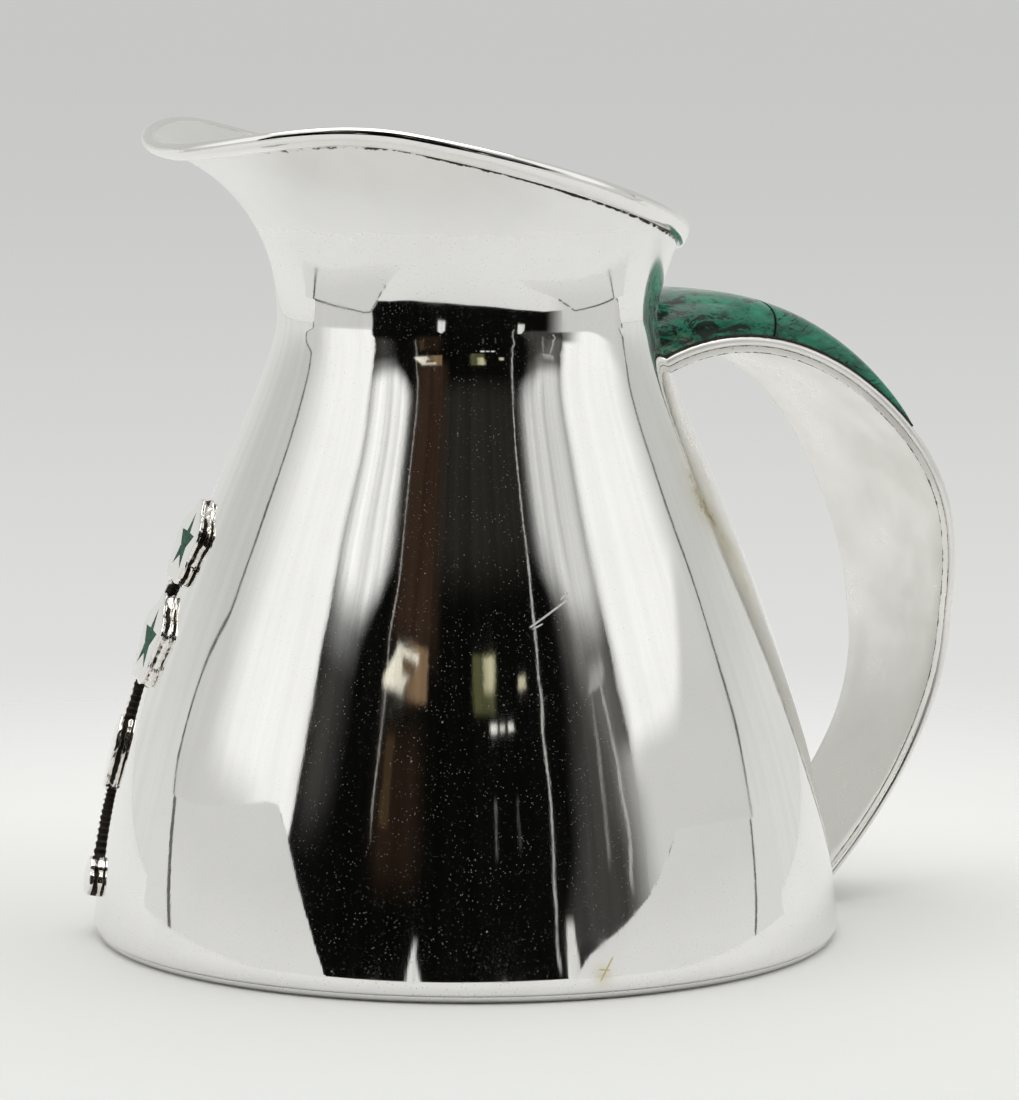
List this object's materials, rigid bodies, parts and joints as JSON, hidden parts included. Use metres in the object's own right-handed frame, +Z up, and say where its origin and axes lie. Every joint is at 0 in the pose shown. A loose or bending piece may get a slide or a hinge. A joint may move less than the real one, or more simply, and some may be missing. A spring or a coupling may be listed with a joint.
{
  "type": "silver water pitcher",
  "caption": "Raised silver water pitcher with a flared pouring lip, an applied rim, a broad strap handle crowned with green stone, and a spray of flowers soldered under the spout.",
  "frame": {"origin": "centre of the round foot, on the plane that it stands on", "axes": "+Z up along the body's axis, +X towards the handle, -X towards the pouring lip, +Y to the side"},
  "size_m": [0.1924, 0.16, 0.1741],
  "materials": {
    "body_silver": "polished silver with fine scratches, pits and a light tarnish",
    "rim_silver": "polished silver moulding with dark tarnish left in its seam",
    "handle_silver": "hand-polished silver strap, tarnish specks and dark solder seams",
    "green_stone": "glossy polished green stone with dark veins",
    "dark_cement": "matt black cement",
    "oxidised_silver": "polished faces with blackened, oxidised edges"
  },
  "bodies": {
    "root": {"body_shell": "body_silver", "base_plate": "body_silver", "rim_band": "rim_silver", "handle_outer_band": "handle_silver", "handle_inner_band": "handle_silver", "stone_cement_bed": "dark_cement", "neck_stone": "green_stone", "crest_stone": "green_stone", "upper_flower": "oxidised_silver", "lower_flower": "oxidised_silver", "upper_star_inlay": "green_stone", "lower_star_inlay": "green_stone", "main_stem": "oxidised_silver", "leaf": "oxidised_silver", "lower_stem": "oxidised_silver", "bud": "oxidised_silver"}
  },
  "joints": []
}
